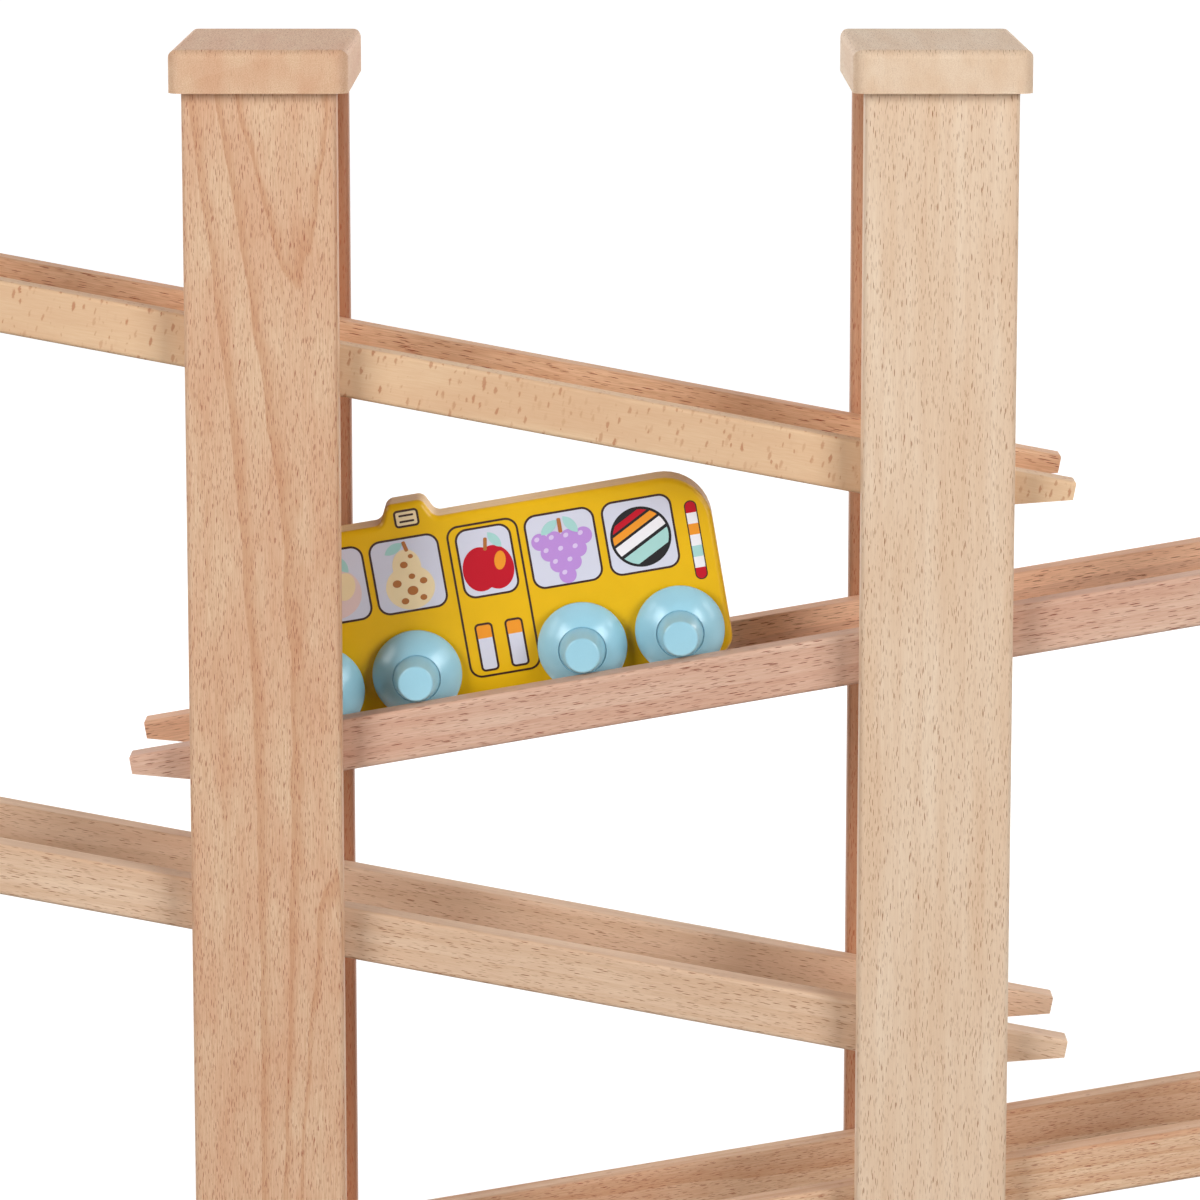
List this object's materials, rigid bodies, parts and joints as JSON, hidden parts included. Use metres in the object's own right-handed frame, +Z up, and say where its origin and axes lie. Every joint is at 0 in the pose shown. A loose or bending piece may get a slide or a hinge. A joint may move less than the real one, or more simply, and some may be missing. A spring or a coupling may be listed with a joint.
{
  "type": "click clack track toy",
  "caption": "Wooden tower of zig-zag ramps between posts; a small bus rolls down slotted rails on its wheel hubs and drops from ramp to ramp.",
  "frame": {"origin": "on the floor under the middle of the toy", "axes": "+X along the ramps to the right, +Y from the front to the rear, +Z up"},
  "size_m": [0.6327, 0.19, 0.4683],
  "materials": {
    "post_beech": "sanded and oiled",
    "rail_beech": "sanded and oiled",
    "base_beech": "sanded and oiled",
    "stop_beech": "sanded and oiled",
    "dowel_beech": "plain",
    "screw_steel": "zinc plated",
    "bus_paint": "painted, clear lacquer",
    "wheel_lacquer": "light blue satin lacquer"
  },
  "bodies": {
    "frame": {"post_front_left": "post_beech", "post_front_right": "post_beech", "post_rear_left": "post_beech", "post_rear_right": "post_beech", "foot_left": "base_beech", "foot_right": "base_beech", "cap_left": "base_beech", "cap_right": "base_beech", "ramp_1_rail_front": "rail_beech", "ramp_1_rail_rear": "rail_beech", "ramp_2_rail_front": "rail_beech", "ramp_2_rail_rear": "rail_beech", "ramp_3_rail_front": "rail_beech", "ramp_3_rail_rear": "rail_beech", "ramp_4_rail_front": "rail_beech", "ramp_4_rail_rear": "rail_beech", "ramp_1_end_stop": "stop_beech", "ramp_2_end_stop": "stop_beech", "ramp_3_end_stop": "stop_beech", "ramp_4_end_stop": "stop_beech", "finish_stop": "stop_beech", "rail_dowels": "dowel_beech", "stop_dowels": "dowel_beech", "cap_dowels": "dowel_beech", "foot_screws": "screw_steel"},
    "bus": {"bus_body": "bus_paint"},
    "axle_1": {"axle_1": "dowel_beech", "wheel_1_front": "wheel_lacquer", "wheel_1_rear": "wheel_lacquer"},
    "axle_2": {"axle_2": "dowel_beech", "wheel_2_front": "wheel_lacquer", "wheel_2_rear": "wheel_lacquer"},
    "axle_3": {"axle_3": "dowel_beech", "wheel_3_front": "wheel_lacquer", "wheel_3_rear": "wheel_lacquer"},
    "axle_4": {"axle_4": "dowel_beech", "wheel_4_front": "wheel_lacquer", "wheel_4_rear": "wheel_lacquer"}
  },
  "joints": [
    {"name": "bus_roll", "type": "slide", "parent": "frame", "child": "bus", "axis": [0.9854, 0, 0.1702], "range_m": [-0.122, 0.26]},
    {"name": "axle_1_spin", "type": "hinge", "parent": "bus", "child": "axle_1", "pos_m": [-0.09375, 0, 0.25177], "axis": [0, 1, 0], "continuous": true},
    {"name": "axle_2_spin", "type": "hinge", "parent": "bus", "child": "axle_2", "pos_m": [-0.06123, 0, 0.25739], "axis": [0, 1, 0], "continuous": true},
    {"name": "axle_3_spin", "type": "hinge", "parent": "bus", "child": "axle_3", "pos_m": [-0.00605, 0, 0.26692], "axis": [0, 1, 0], "continuous": true},
    {"name": "axle_4_spin", "type": "hinge", "parent": "bus", "child": "axle_4", "pos_m": [0.02647, 0, 0.27253], "axis": [0, 1, 0], "continuous": true}
  ],
  "couplings": [
    {"joint": "axle_1_spin", "follows": "bus_roll", "rad_per_m": 151.51},
    {"joint": "axle_2_spin", "follows": "bus_roll", "rad_per_m": 151.51},
    {"joint": "axle_3_spin", "follows": "bus_roll", "rad_per_m": 151.51},
    {"joint": "axle_4_spin", "follows": "bus_roll", "rad_per_m": 151.51}
  ]
}
